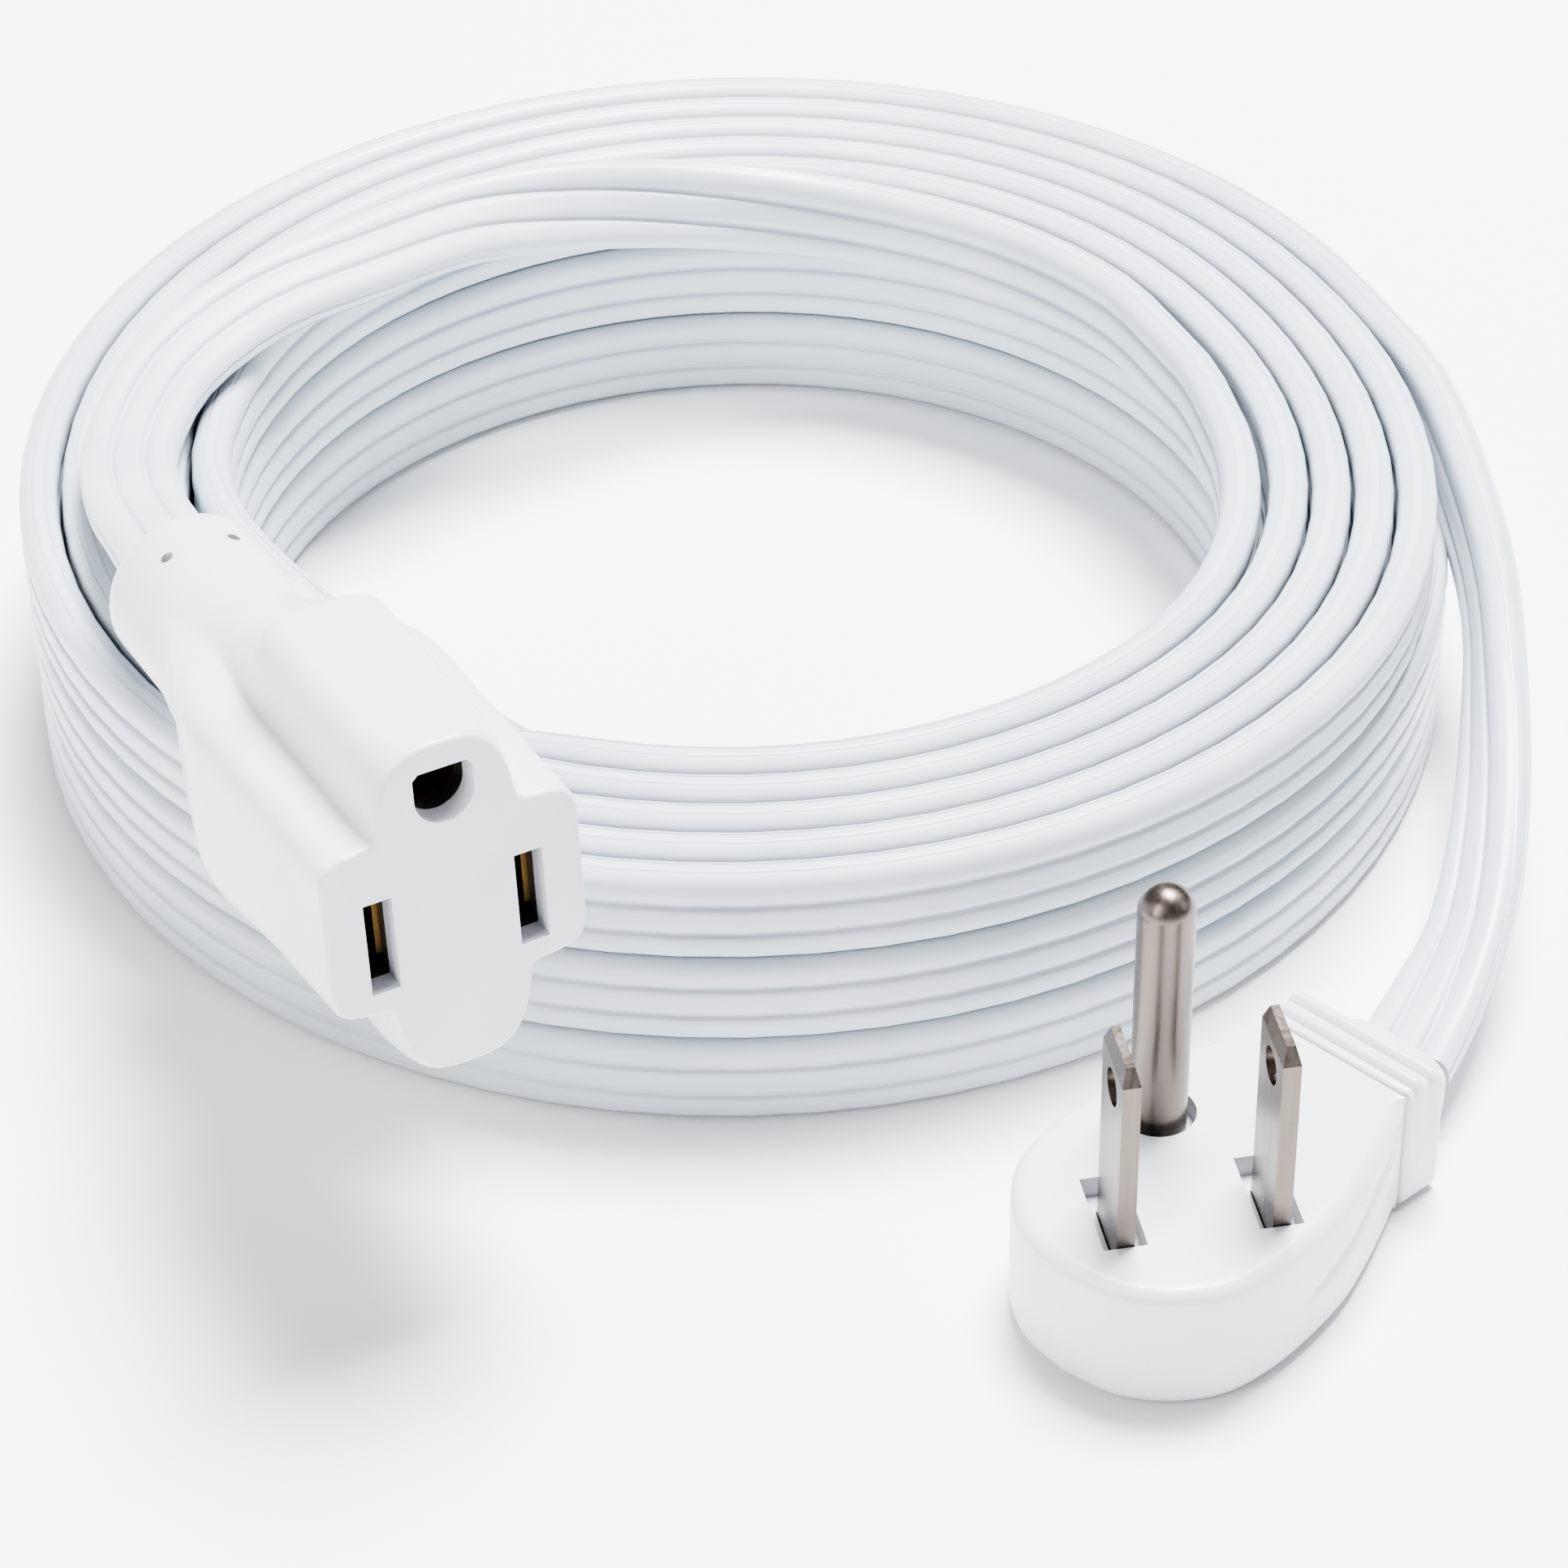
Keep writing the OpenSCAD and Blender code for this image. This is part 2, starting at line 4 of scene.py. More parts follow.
import bmesh
import bpy
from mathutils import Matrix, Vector


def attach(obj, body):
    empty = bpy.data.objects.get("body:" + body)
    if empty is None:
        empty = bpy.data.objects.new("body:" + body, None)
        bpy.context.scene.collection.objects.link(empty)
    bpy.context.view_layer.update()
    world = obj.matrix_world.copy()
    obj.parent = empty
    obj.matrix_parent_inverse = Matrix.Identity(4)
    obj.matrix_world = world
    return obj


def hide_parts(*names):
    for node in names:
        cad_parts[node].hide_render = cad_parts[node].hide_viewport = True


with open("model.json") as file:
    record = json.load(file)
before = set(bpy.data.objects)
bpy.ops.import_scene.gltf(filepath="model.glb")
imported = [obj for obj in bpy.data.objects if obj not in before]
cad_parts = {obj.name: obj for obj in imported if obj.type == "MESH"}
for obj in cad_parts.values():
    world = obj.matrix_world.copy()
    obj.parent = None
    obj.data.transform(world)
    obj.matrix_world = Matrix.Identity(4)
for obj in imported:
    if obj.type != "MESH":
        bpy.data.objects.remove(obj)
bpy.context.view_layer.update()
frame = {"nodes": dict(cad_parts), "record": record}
mm = 0.001

# camera
camera = {
    "place": (-0.0017, -0.3066, 0.2781),
    "turn": (51.95, 0.74, -1.015),  # degrees
    "lens": 112.0,
    "sensor": 36.0,
    "near": 0.01, "far": 20.0,
}


def makeCamera(c):
    data = bpy.data.cameras.new("studioCamera")
    data.lens = c["lens"]
    data.sensor_width = c["sensor"]
    data.clip_start, data.clip_end = c["near"], c["far"]
    ob = bpy.data.objects.new("studioCamera", data)
    ob.location = c["place"]
    ob.rotation_euler = [math.radians(a) for a in c["turn"]]
    bpy.context.scene.collection.objects.link(ob)
    bpy.context.scene.camera = ob


makeCamera(camera)
print("camera set")


# small helpers
def linearColour(hexText):
    # the usual sRGB curve, with its straight foot
    parts = [int(hexText[i:i + 2], 16) / 255 for i in (1, 3, 5)]
    return tuple(c / 12.92 if c <= 0.04045 else ((c + 0.055) / 1.055) ** 2.4 for c in parts) + (1.0,)


def addNode(tree, kind, settings=None, links=None):
    # a setting is an input, by name or number, or else one of the node's own options
    node = tree.nodes.new(kind)
    for key, value in (settings or {}).items():
        if isinstance(key, int) or key in node.inputs:
            node.inputs[key].default_value = value
        else:
            setattr(node, key, value)
    for key, socket in (links or {}).items():
        tree.links.new(socket, node.inputs[key])
    return node


def meshObject(name, bm, material, sharpAngle=30.0):
    mesh = bpy.data.meshes.new(name)
    bm.to_mesh(mesh)
    bm.free()
    mesh.materials.append(material)
    mesh.shade_smooth()
    mesh.set_sharp_from_angle(angle=math.radians(sharpAngle))
    ob = bpy.data.objects.new(name, mesh)
    bpy.context.scene.collection.objects.link(ob)
    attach(ob, "root")
    return ob


def skinRings(bm, rings):
    rows = [[bm.verts.new(p) for p in ring] for ring in rings]
    n = len(rows[0])
    for a, b in zip(rows[:-1], rows[1:]):
        for j in range(n):
            bm.faces.new((a[j], a[(j + 1) % n], b[(j + 1) % n], b[j]))
    bm.faces.new(rows[0][::-1])
    bm.faces.new(rows[-1])
    bmesh.ops.recalc_face_normals(bm, faces=bm.faces)
    return rows


def loftRings(bm, rings):
    # each section is a closed loop of edges, bridged to the next one and filled at both ends
    loops = []
    for ring in rings:
        verts = [bm.verts.new(p) for p in ring]
        loops.append([bm.edges.new(pair) for pair in zip(verts, verts[1:] + verts[:1])])
    for near, far in zip(loops[:-1], loops[1:]):
        bmesh.ops.bridge_loops(bm, edges=near + far)
    for loop in (loops[0], loops[-1]):
        bmesh.ops.edgeloop_fill(bm, edges=loop)
    bmesh.ops.recalc_face_normals(bm, faces=bm.faces)


def smoothStep(t):
    t = min(1.0, max(0.0, t))
    return t * t * (3 - 2 * t)


def splineThrough(points, step):
    # a smooth curve through the points, sampled about one step apart
    out = []
    last = len(points) - 1

    def slope(i, span):
        a, b = max(i - 1, 0), min(i + 1, last)
        reach = (math.dist(points[a][:3], points[i][:3]) + math.dist(points[i][:3], points[b][:3]))
        return [(q - p) / reach * span for p, q in zip(points[a], points[b])]

    for i in range(last):
        p, q = points[i], points[i + 1]
        span = math.dist(p[:3], q[:3])
        leave, arrive = slope(i, span), slope(i + 1, span)
        count = max(1, round(span / step))
        for k in range(count):
            t = k / count
            out.append([(2 * t ** 3 - 3 * t * t + 1) * a + (t ** 3 - 2 * t * t + t) * m
                        + (3 * t * t - 2 * t ** 3) * b + (t ** 3 - t * t) * n
                        for a, b, m, n in zip(p, q, leave, arrive)])
    out.append(list(points[-1]))
    return out


# materials: sizes of patterns are in mm
plasticIor = 1.53
# painted shade: the cool grey painted into tight corners and gaps
paintedShadeGrey = "#5C646E"


def newMaterial(name):
    mat = bpy.data.materials.new(name)
    mat.use_nodes = True
    tree = mat.node_tree
    tree.nodes.clear()
    shader = addNode(tree, "ShaderNodeBsdfPrincipled")
    addNode(tree, "ShaderNodeOutputMaterial", links={"Surface": shader.outputs[0]})
    return mat, tree, shader


def tintBetween(tree, value, dark, light, low=0.3, high=0.7):
    ramp = addNode(tree, "ShaderNodeValToRGB", links={"Fac": value})
    for stop, place, colour in zip(ramp.color_ramp.elements, (low, high), (dark, light)):
        stop.position = place
        stop.color = linearColour(colour)
    return ramp.outputs["Color"]


def varyGloss(tree, shader, value, least, most):
    spread = {"From Min": 0.3, "From Max": 0.7, "To Min": least, "To Max": most}
    gloss = addNode(tree, "ShaderNodeMapRange", spread, {"Value": value})
    tree.links.new(gloss.outputs["Result"], shader.inputs["Roughness"])


def addRelief(tree, shader, value, strength, depthMm):
    settings = {"Strength": strength, "Distance": depthMm * mm}
    bump = addNode(tree, "ShaderNodeBump", settings, {"Height": value})
    tree.links.new(bump.outputs["Normal"], shader.inputs["Normal"])


def paintCreaseShade(tree, colour, reach, depth):
    # painted shade: an occlusion node paints tight corners and the gaps between turns a cool grey in the base
    # colour, as white plastic looks in soft light
    near = addNode(tree, "ShaderNodeAmbientOcclusion", {"Distance": reach * mm, "samples": 8})
    spread = {"From Min": 0.15, "From Max": 0.75, "To Min": depth, "To Max": 0.0}
    dark = addNode(tree, "ShaderNodeMapRange", spread, {"Value": near.outputs["AO"]})
    mix = addNode(tree, "ShaderNodeMix", {"data_type": "RGBA"}, {0: dark.outputs["Result"], 6: colour})
    mix.inputs[7].default_value = linearColour(paintedShadeGrey)
    return mix.outputs[2]


def mouldedPlastic(name, light, dark, roughness, grainMm, bumpMm, creases=0.0):
    # injection moulding: faint cloudiness in the colour and a fine orange-peel in the gloss
    mat, tree, shader = newMaterial(name)
    shader.inputs["IOR"].default_value = plasticIor
    where = addNode(tree, "ShaderNodeTexCoord")
    cloud = addNode(tree, "ShaderNodeTexNoise", {"Scale": 1 / (9 * mm), "Detail": 3.0, "Roughness": 0.5},
                    {"Vector": where.outputs["Object"]})
    colour = tintBetween(tree, cloud.outputs["Fac"], dark, light)
    # painted shade: when creases is set, tight corners get a darker grey painted into the base colour
    if creases:
        colour = paintCreaseShade(tree, colour, 3.0, creases)
    tree.links.new(colour, shader.inputs["Base Color"])
    peel = addNode(tree, "ShaderNodeTexNoise", {"Scale": 1 / (grainMm * mm), "Detail": 2.0, "Roughness": 0.6},
                   {"Vector": where.outputs["Object"]})
    varyGloss(tree, shader, peel.outputs["Fac"], roughness - 0.05, roughness + 0.07)
    addRelief(tree, shader, peel.outputs["Fac"], 0.35, bumpMm)
    return mat


def extrudedJacket(name, light, dark):
    # extruded PVC: hair-fine die lines run along the cord, over a soft satin gloss
    mat, tree, shader = newMaterial(name)
    shader.inputs["IOR"].default_value = plasticIor
    line = addNode(tree, "ShaderNodeUVMap", {"uv_map": "alongCord"})
    # the map is in metres: along the cord, then round its jacket
    stretch = addNode(tree, "ShaderNodeMapping", {"Scale": (1 / (60 * mm), 1 / (0.25 * mm), 1.0)},
                      {"Vector": line.outputs["UV"]})
    streak = addNode(tree, "ShaderNodeTexNoise", {"Scale": 1.0, "Detail": 2.0, "Roughness": 0.5},
                     {"Vector": stretch.outputs["Vector"]})
    where = addNode(tree, "ShaderNodeTexCoord")
    cloud = addNode(tree, "ShaderNodeTexNoise", {"Scale": 1 / (14 * mm), "Detail": 2.0},
                    {"Vector": where.outputs["Object"]})
    both = addNode(tree, "ShaderNodeMath", {"operation": "MULTIPLY_ADD", 1: 0.5},
                   {0: streak.outputs["Fac"], 2: cloud.outputs["Fac"]})
    tint = tintBetween(tree, both.outputs["Value"], dark, light, 0.5, 1.0)
    # painted shade: the gaps between turns are painted a darker grey in the base colour
    tree.links.new(paintCreaseShade(tree, tint, 1.6, 0.75), shader.inputs["Base Color"])
    varyGloss(tree, shader, streak.outputs["Fac"], 0.3, 0.42)
    addRelief(tree, shader, streak.outputs["Fac"], 0.3, 0.01)
    return mat


def workedMetal(name, light, dark, roughness, grain, anisotropy=0.0):
    # grain is the spacing of the tool marks in mm along x, y and z
    mat, tree, shader = newMaterial(name)
    shader.inputs["Metallic"].default_value = 1.0
    shader.inputs["Anisotropic"].default_value = anisotropy
    where = addNode(tree, "ShaderNodeTexCoord")
    stretch = addNode(tree, "ShaderNodeMapping", {"Scale": tuple(1 / (g * mm) for g in grain)},
                      {"Vector": where.outputs["Object"]})
    marks = addNode(tree, "ShaderNodeTexNoise", {"Scale": 1.0, "Detail": 3.0, "Roughness": 0.6},
                    {"Vector": stretch.outputs["Vector"]})
    tree.links.new(tintBetween(tree, marks.outputs["Fac"], dark, light), shader.inputs["Base Color"])
    varyGloss(tree, shader, marks.outputs["Fac"], roughness - 0.05, roughness + 0.08)
    addRelief(tree, shader, marks.outputs["Fac"], 0.06, 0.01)
    return mat


materials = {
    # soft PVC overmould, injection moulded: cool white with a satin sheen, and painted shade in its tight
    # corners
    "white_overmould": mouldedPlastic("mouldedSoftPvc", "#D9DAE0", "#D0D2D9", 0.3, 0.35, 0.02, 0.45),
    # PVC cord jacket, extruded: a touch bluer than the overmoulds, with painted shade in the gaps between
    # turns
    "cord_jacket": extrudedJacket("extrudedPvcJacket", "#C6CFD8", "#B8C2CC"),
    # black nylon, moulded: dull, so the slots look deep; the insert is moulded black, and that black is also
    # painted shade inside the slots
    "nylon_insert": mouldedPlastic("mouldedBlackNylon", "#17181A", "#0E0F10", 0.55, 0.3, 0.02),
    # brass strip, stamped: a dark warm yellow with a rolled grain, painted darker than bright brass as
    # painted shade for the contacts deep in the slots
    "brass_contact": workedMetal("stampedBrassStrip", "#7E6132", "#5F4824", 0.4, (0.2, 3.0, 0.2)),
    # nickel on brass, barrel plated: warm grey, drawn lengthways
    "nickel_prongs": workedMetal("satinNickelPlate", "#675E58", "#5C544E", 0.3, (0.5, 0.5, 14.0), 0.3),
    # fine copper strands, twisted and crimped
    "copper_strands": workedMetal("twistedCopper", "#D9875B", "#A85E38", 0.35, (0.25, 0.25, 1.5)),
    # PVC wire insulation, extruded, in the three standard colours
    "black_insulation": mouldedPlastic("blackWirePvc", "#1D1D1F", "#131314", 0.42, 0.4, 0.01),
    "white_insulation": mouldedPlastic("whiteWirePvc", "#EDEDEA", "#E2E2DE", 0.42, 0.4, 0.01),
    "green_insulation": mouldedPlastic("greenWirePvc", "#1F7A3E", "#17652F", 0.42, 0.4, 0.01),
}

for part in frame["record"]["subparts"]:
    ob = frame["nodes"][part["node"]]
    for place in ob.material_slots:
        place.material = materials[part["material_slot"]]
print("materials ready")

# cord
# all lengths are in mm here, and become metres where the mesh is made
cord = {
    "width": 8.8,
    "coilCentre": (-2.7, 68.0), "startAngle": 20.0,
    "firstSlot": 48.6, "slotPitch": 3.9,
    "layers": (4.4, 13.25, 22.1),  # height of the middle of each layer
    "turnStep": 5.0,  # degrees between rings
    "runStep": 4.0,  # between rings on the free ends
}
connectorSide = {"place": (-24.7, -18.2, 39.7), "turn": 27.3, "tilt": 4.0, "mid": 1.5, "reach": 54.0}
plugSide = {"place": (30.4, -20.6), "turn": 45.0, "reach": 30.7, "cordHeight": 6.0}
connectorRoute = [
    (-53, 39.8, 35.4, 0), (-56.2, 51, 31.5, 0), (-57.9, 63, 28.8, 2),
    (-55.3, 75.5, 29.3, 13), (-47.9, 86.3, 29.8, 19), (-38.1, 94.6, 29.4, 25), (-28.6, 102.2, 28.6, 34),
    (-18.5, 106.8, 27.3, 54), (-7.5, 110.9, 24.8, 72), (5.2, 111.7, 22.8, 86), (17.3, 107.9, 22.1, 90),
    (26.8, 101.4, 22.1, 90), (34.3, 93.1, 22.1, 90), (39.1, 83, 22.1, 90),
]
plugRoute = [
    (62.4, 77, 21.8, 88), (64.4, 64, 20.2, 83), (65.3, 51, 17.8, 79), (64.3, 38.5, 14.6, 67),
    (62.9, 28.5, 11.4, 55), (60, 17, 8.2, 38), (55.5, 7.4, 6.4, 12),
]
# how the turns lie: (degrees wound, slot, layer) at the end of each stretch, from the inner top turn
windings = [
    (0, -1, 2), (60, 0, 2), (125, 0, 2), (176, 0, 1),  # in under the connector and down a layer
    (440, 0, 1), (480, 1, 1), (800, 1, 1), (840, 2, 1), (980, 2, 1), (1040, 3, 1), (1340, 3, 1),
    (1400, 4, 1), (1700, 4, 1), (1760, 4, 0),  # outwards, then down at the back
    (2060, 4, 0), (2120, 3, 0), (2420, 3, 0), (2480, 2, 0), (2620, 2, 0), (2660, 1, 0),
    (2980, 1, 0), (3020, 0, 0), (3300, 0, 0),  # inwards
    (3320, -1, 0), (3400, -1, 2), (3405, -1, 2), (3440, 0, 2),  # up inside the coil
    (3590, 0, 2), (3660, 1, 2), (3950, 1, 2), (4020, 2, 2), (4310, 2, 2), (4380, 3, 2),
    (4670, 3, 2), (4740, 4, 2), (5040, 4, 2),  # outwards over the top
]


def slotRadius(slot):
    return cord["firstSlot"] + cord["slotPitch"] * slot


def layerHeight(layer):
    low, mid, top = cord["layers"]
    return low + (mid - low) * min(layer, 1) + (top - mid) * max(layer - 1, 0)


def coilPoints():
    cx, cy = cord["coilCentre"]
    out = []
    wound = cord["turnStep"]
    i = 1
    while wound <= windings[-1][0]:
        while windings[i][0] < wound:
            i += 1
        (w0, s0, l0), (w1, s1, l1) = windings[i - 1], windings[i]
        t = smoothStep((wound - w0) / (w1 - w0))
        r = slotRadius(s0 + (s1 - s0) * t)
        z = layerHeight(l0 + (l1 - l0) * t)
        angle = math.radians(cord["startAngle"] - wound)
        out.append((cx + r * math.cos(angle), cy + r * math.sin(angle), z, 90.0))
        wound += cord["turnStep"]
    return out


def cordCentres():
    c, p = connectorSide, plugSide
    turn, tilt = math.radians(c["turn"]), math.radians(c["tilt"])
    back = c["reach"] * math.cos(tilt) + c["mid"] * math.sin(tilt)
    rise = c["mid"] * math.cos(tilt) - c["reach"] * math.sin(tilt)
    start = (c["place"][0] - back * math.sin(turn), c["place"][1] + back * math.cos(turn),
             c["place"][2] + rise, 0.0)
    way = math.radians(p["turn"])
    end = (p["place"][0] + p["reach"] * math.cos(way), p["place"][1] + p["reach"] * math.sin(way),
           p["cordHeight"], 0.0)
    coil = coilPoints()
    lead = splineThrough([start] + connectorRoute + coil[:3], cord["runStep"])
    tail = splineThrough(coil[-3:] + plugRoute + [end], cord["runStep"])
    return lead[:-1] + coil[3:-3] + tail


# one quarter of the jacket's outline: crowned lobes, flat-bottomed grooves and a banded edge
quarterOutline = [
    (0, 1.8), (0.6, 1.79), (1.0, 1.73), (1.16, 1.62), (1.26, 1.4), (1.47, 1.32), (1.68, 1.4), (1.78, 1.62),
    (1.95, 1.73), (2.6, 1.8), (3.2, 1.75), (3.65, 1.58), (4.0, 1.28), (4.2, 0.95), (4.3, 0.76),
    (4.2, 0.68), (4.22, 0.56), (4.36, 0.48), (4.4, 0.25), (4.4, 0),
]


def jacketOutline():
    q = quarterOutline
    right = q + [(u, -v) for u, v in q[-2::-1]]
    return right + [(-u, v) for u, v in right[-2:0:-1]]


def makeCord():
    centres = cordCentres()
    count = len(centres)
    outline = jacketOutline()
    n = len(outline)
    rings = []
    for i, (x, y, z, lean) in enumerate(centres):
        a, b = Vector(centres[max(i - 1, 0)][:3]), Vector(centres[min(i + 1, count - 1)][:3])
        run = (b - a).normalized()
        left = Vector((-run.y, run.x, 0)).normalized()
        up = run.cross(left)
        lean = math.radians(lean)
        wide = math.cos(lean) * left + math.sin(lean) * up
        thin = math.cos(lean) * up - math.sin(lean) * left
        rings.append([(Vector((x, y, z)) + u * wide + v * thin) * mm for u, v in outline])
    bm = bmesh.new()
    uv = bm.loops.layers.uv.new("alongCord")
    rows = skinRings(bm, rings)
    along = [0.0]
    for a, b in zip(centres[:-1], centres[1:]):
        along.append(along[-1] + math.dist(a[:3], b[:3]) * mm)
    around = [0.0]
    for a, b in zip(outline, outline[1:] + outline[:1]):
        around.append(around[-1] + math.dist(a, b) * mm)
    ringOf = {v: (i, j) for i, row in enumerate(rows) for j, v in enumerate(row)}
    for face in bm.faces:
        places = [ringOf[loop.vert] for loop in face.loops]
        wraps = len(places) == 4 and {0, n - 1} <= {j for i, j in places}
        for loop, (i, j) in zip(face.loops, places):
            loop[uv].uv = (along[i], around[n if wraps and j == 0 else j])
    ob = meshObject("cordJacket", bm, materials["cord_jacket"], 60.0)
    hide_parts("cord_coil", "cord_to_connector", "cord_to_plug")
    return ob, [[v * mm for v in c[:3]] for c in centres], along[-1]


cordJacket, cordPath, cordLength = makeCord()
print("cord made, %.3f m" % cordLength)

# plug
plug = {
    "height": 12.5, "topRound": 1.3, "bottomRound": 1.8, "rimSteps": 8,
    "sideFrom": 2.1, "sideStep": 0.3, "sideRings": 30, "outlineStep": 0.7,
}
plugEnd = 21.6
creases = {
    "depth": 0.9, "from": 1.0, "to": 21.4, "inside": 6.0,
    "upperAt": 5.4, "upperRise": 0.24, "upperBlend": 0.5,
    "lowerAt": 4.4, "lowerRise": 0.06, "lowerBlend": 3.0,
    "fadeIn": 5.0, "fadeOut": 3.0,
}
# half of the plug's outline seen from above, from the nose round to the strain relief
plugFlank = [
    (-12.3, 0), (-11.5, -4.6), (-9.1, -8.4), (-5.3, -11.2), (-0.6, -12.2), (4.5, -12.15),
    (9.5, -11.5), (14.2, -10.1), (18.2, -8.6), (plugEnd, -7.2),
]


def atPlug(x, y, z):
    a = math.radians(plugSide["turn"])
    return Vector((plugSide["place"][0] + x * math.cos(a) - y * math.sin(a),
                   plugSide["place"][1] + x * math.sin(a) + y * math.cos(a), z)) * mm


def plugOutline():
    half = [(p[0], p[1]) for p in splineThrough([(x, y, 0, 0) for x, y in plugFlank], plug["outlineStep"])]
    endFace = [(plugEnd, y) for y in (-5.4, -3.6, -1.8, 0.0, 1.8, 3.6, 5.4)]
    return half + endFace + [(x, -y) for x, y in half[:0:-1]]


def creaseDraw(x, y, z):
    # two creases sweep back along each flank, and the side draws in between them
    c = creases
    if abs(y) <= c["inside"]:
        return 0.0
    back = x - c["from"]
    upper = c["upperAt"] + c["upperRise"] * back
    lower = c["lowerAt"] + c["lowerRise"] * back
    band = smoothStep((upper - z) / c["upperBlend"]) * smoothStep((z - lower) / c["lowerBlend"])
    fade = smoothStep(back / c["fadeIn"]) * smoothStep((c["to"] - x) / c["fadeOut"])
    return c["depth"] * band * fade


def makePlugBody():
    outline = plugOutline()
    n = len(outline)
    normals = []
    for i in range(n):
        a, b = Vector(outline[i - 1]), Vector(outline[(i + 1) % n])
        d = (b - a).normalized()
        normals.append(Vector((d.y, -d.x)))
    height, topRound, bottomRound = plug["height"], plug["topRound"], plug["bottomRound"]
    # (height, how far the outline draws in) for the rounded foot, the side and the rounded rim
    foot, rim = [], []
    for k in range(plug["rimSteps"] + 1):
        a = math.radians(90 * k / plug["rimSteps"])
        foot.append((bottomRound * (1 - math.cos(a)), bottomRound * (1 - math.sin(a))))
        rim.append((height - topRound * (1 - math.sin(a)), topRound * (1 - math.cos(a))))
    side = [(plug["sideFrom"] + plug["sideStep"] * k, 0.0) for k in range(plug["sideRings"])]
    rings = []
    for z, inset in foot + side + rim:
        ring = []
        for (x, y), out in zip(outline, normals):
            draw = creaseDraw(x, y, z)
            roundIn = inset if x < plugEnd - 0.01 else 0.0  # the flat end towards the collar stays square
            p = Vector((x, y)) - out * (roundIn + draw)
            ring.append(atPlug(min(p.x, plugEnd), p.y, z))
        rings.append(ring)
    bm = bmesh.new()
    loftRings(bm, rings)
    return bm


def boxCutter(low, high, place):
    bm = bmesh.new()
    bmesh.ops.create_cube(bm, size=1.0)
    size = Vector(high) - Vector(low)
    middle = (Vector(high) + Vector(low)) / 2
    for v in bm.verts:
        p = Vector(a * b for a, b in zip(v.co, size)) + middle
        v.co = place(p.x, p.y, p.z)
    bmesh.ops.recalc_face_normals(bm, faces=bm.faces)
    return bm


def roundCutter(centre, axis, radius, length, place, segments=48):
    bm = bmesh.new()
    bmesh.ops.create_cone(bm, cap_ends=True, segments=segments, radius1=radius, radius2=radius, depth=length)
    turn = Vector((0, 0, 1)).rotation_difference(Vector(axis)).to_matrix()
    for v in bm.verts:
        p = turn @ v.co + Vector(centre) + Vector(axis) * length / 2
        v.co = place(p.x, p.y, p.z)
    bmesh.ops.recalc_face_normals(bm, faces=bm.faces)
    return bm


def cutOut(bm, cutters):
    mesh = bpy.data.meshes.new("cutBody")
    bm.to_mesh(mesh)
    bm.free()
    body = bpy.data.objects.new("cutBody", mesh)
    bpy.context.scene.collection.objects.link(body)
    tools = []
    for cutter in cutters:
        toolMesh = bpy.data.meshes.new("cutTool")
        cutter.to_mesh(toolMesh)
        cutter.free()
        tool = bpy.data.objects.new("cutTool", toolMesh)
        bpy.context.scene.collection.objects.link(tool)
        tools.append(tool)
        mod = body.modifiers.new("cut", "BOOLEAN")
        mod.operation = "DIFFERENCE"
        mod.solver = "MANIFOLD"
        mod.object = tool
    bpy.context.view_layer.update()
    done = bpy.data.meshes.new_from_object(body.evaluated_get(bpy.context.evaluated_depsgraph_get()))
    out = bmesh.new()
    out.from_mesh(done)
    for ob in tools + [body]:
        bpy.data.objects.remove(ob)
    return out


def turnedAbout(centre, degrees, place):
    a = math.radians(degrees)

    def inner(x, y, z):
        return place(centre[0] + x * math.cos(a) - y * math.sin(a),
                     centre[1] + x * math.sin(a) + y * math.cos(a), z)
    return inner


prongs = {
    "centre": (-0.3, -3.2), "turn": -35.5, "spacing": 12.7, "pinBehind": 11.9,
    "bladeHalf": (0.86, 3.28), "recessHalf": 1.8, "recessBack": 5.18,  # with a little room round the blade
    "shankRadius": 2.3, "pinRecessRadius": 3.18,
    "webFrom": 8.3, "recessFrom": 10.5, "above": 3.5,  # heights in the plug
}
plugInside = {
    "floor": 1.6, "roof": 9.3, "roundRadius": 11.0,  # the room for the wires
    "tailHalf": 5.2, "tailTo": 17.6,
    "exitFrom": (16.6, -4.4, 4.4), "exitTo": (22.6, 4.4, 7.6),  # where the cord comes in
}


def prongPlaces():
    a = math.radians(prongs["turn"])
    across = Vector((math.cos(a), math.sin(a)))
    centre = Vector(prongs["centre"])
    half = prongs["spacing"] / 2
    back = Vector((-across.y, across.x))
    return centre + half * across, centre - half * across, centre + prongs["pinBehind"] * back


def finishPlug():
    line, neutral, pin = prongPlaces()
    p, room = prongs, plugInside
    upwards = (0, 0, 1)
    cutters = [
        roundCutter((0, 0, room["floor"]), upwards, room["roundRadius"],
                    room["roof"] - room["floor"], atPlug),
        boxCutter((0, -room["tailHalf"], room["floor"]),
                  (room["tailTo"], room["tailHalf"], room["roof"]), atPlug),
        boxCutter(room["exitFrom"], room["exitTo"], atPlug),
        roundCutter((pin.x, pin.y, p["webFrom"]), upwards, p["shankRadius"], 6, atPlug),
        roundCutter((pin.x, pin.y, p["recessFrom"]), upwards, p["pinRecessRadius"], 6, atPlug),
    ]
    thick, wide = p["bladeHalf"]
    for at in (line, neutral):
        place = turnedAbout(at, p["turn"], atPlug)
        cutters.append(boxCutter((-thick, -wide, p["webFrom"]), (thick, wide, p["recessFrom"] + 0.5), place))
        cutters.append(boxCutter((-p["recessHalf"], -wide, p["recessFrom"]),
                                 (p["recessHalf"], p["recessBack"], p["recessFrom"] + p["above"]), place))
    bm = cutOut(makePlugBody(), cutters)
    ob = meshObject("plugShell", bm, materials["white_overmould"], 35.0)
    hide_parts("plug_overmould")
    return ob


plugShell = finishPlug()
print("plug made")

